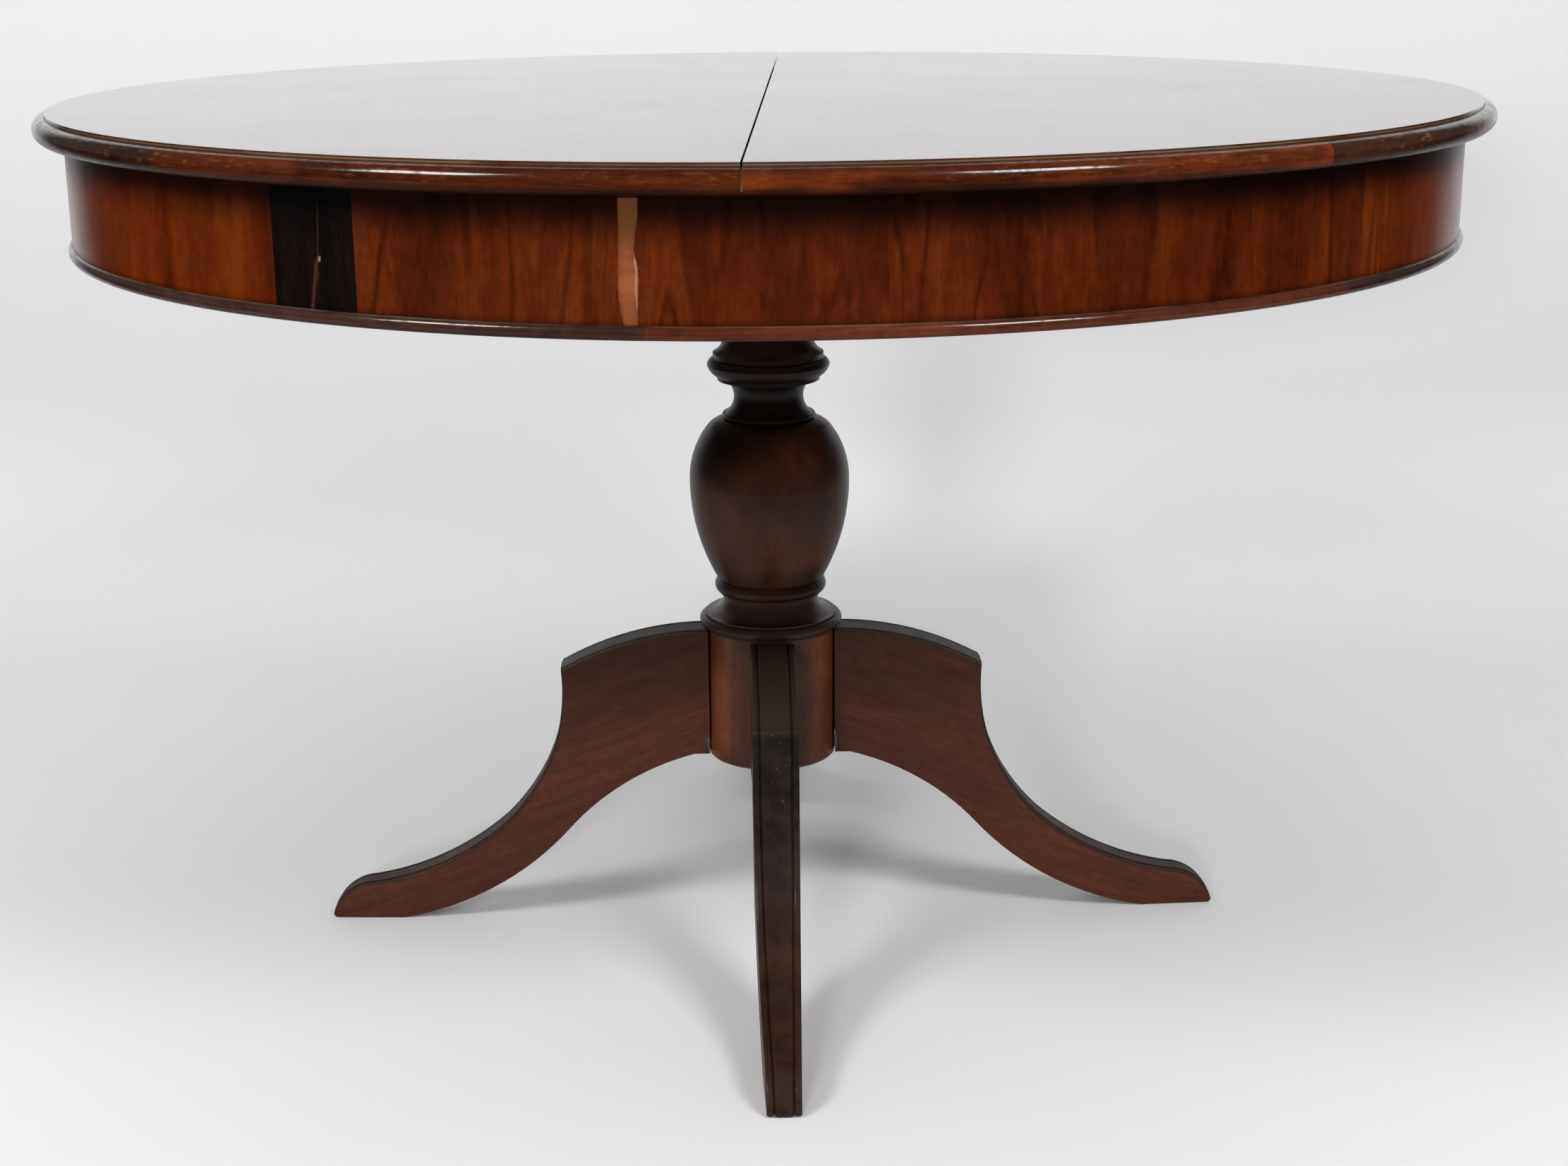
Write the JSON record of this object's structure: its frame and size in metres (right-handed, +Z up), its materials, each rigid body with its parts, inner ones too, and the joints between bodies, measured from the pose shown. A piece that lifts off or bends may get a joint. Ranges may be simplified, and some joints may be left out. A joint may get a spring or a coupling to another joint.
{
  "type": "round extending pedestal dining table",
  "caption": "Round dining table with a split top whose leaves draw apart over a veneered drum, on a turned column with sabre legs.",
  "frame": {"origin": "on the floor under the middle of the top", "axes": "+Z up, X square to the seam and along the leaves' slides, -Y to the front"},
  "size_m": [1.2198, 1.22, 0.762],
  "materials": {
    "top_wood": "clear polished hardwood, reflects strongly at a low angle",
    "moulding_wood": "dark red-brown hardwood, glossy, worn in spots",
    "honey_veneer": "honey brown veneer, satin gloss",
    "dark_veneer": "near-black stained veneer, satin gloss",
    "red_veneer": "red-brown veneer with dark vertical streaks, satin gloss",
    "drum_core_wood": "bare tan softwood",
    "bead_wood": "dark red-brown hardwood, satin gloss",
    "pedestal_wood": "dark red-brown hardwood, satin gloss",
    "leg_wood": "dark red-brown hardwood, satin gloss",
    "frame_wood": "bare pale hardwood",
    "peg_wood": "bare pale hardwood",
    "screw_steel": "plain steel, dulled"
  },
  "bodies": {
    "base": {"drum_core_right": "drum_core_wood", "drum_core_back": "drum_core_wood", "drum_core_left": "drum_core_wood", "drum_core_front": "drum_core_wood", "veneer_honey": "honey_veneer", "veneer_dark_patch": "dark_veneer", "veneer_red_left": "red_veneer", "veneer_red_right": "red_veneer", "veneer_back_right": "red_veneer", "veneer_back_left": "red_veneer", "bead_left": "bead_wood", "bead_front_left": "bead_wood", "bead_front_right": "bead_wood", "bead_right": "bead_wood", "bead_back": "bead_wood", "left_cross_rail": "frame_wood", "right_cross_rail": "frame_wood", "glue_blocks": "frame_wood", "bearer_board": "frame_wood", "bearer_screws": "screw_steel", "column": "pedestal_wood", "hub": "pedestal_wood", "leg_right": "leg_wood", "leg_back": "leg_wood", "leg_left": "leg_wood", "leg_front": "leg_wood", "leg_dowels": "peg_wood"},
    "left_leaf": {"left_leaf_panel": "top_wood", "left_moulding_front": "moulding_wood", "left_moulding_side": "moulding_wood", "left_moulding_back": "moulding_wood", "left_runner_front": "frame_wood", "left_runner_back": "frame_wood", "left_packer_front": "frame_wood", "left_packer_back": "frame_wood", "left_runner_screws": "screw_steel", "left_stop_pegs": "peg_wood", "seam_pegs": "peg_wood"},
    "right_leaf": {"right_leaf_panel": "top_wood", "right_moulding_front": "moulding_wood", "right_moulding_side": "moulding_wood", "right_moulding_back": "moulding_wood", "right_runner_front": "frame_wood", "right_runner_back": "frame_wood", "right_packer_front": "frame_wood", "right_packer_back": "frame_wood", "right_runner_screws": "screw_steel", "right_stop_pegs": "peg_wood"}
  },
  "joints": [
    {"name": "left_leaf_slide", "type": "slide", "parent": "base", "child": "left_leaf", "axis": [-1, 0, 0], "range_m": [0, 0.25]},
    {"name": "right_leaf_slide", "type": "slide", "parent": "base", "child": "right_leaf", "axis": [1, 0, 0], "range_m": [0, 0.25]}
  ]
}
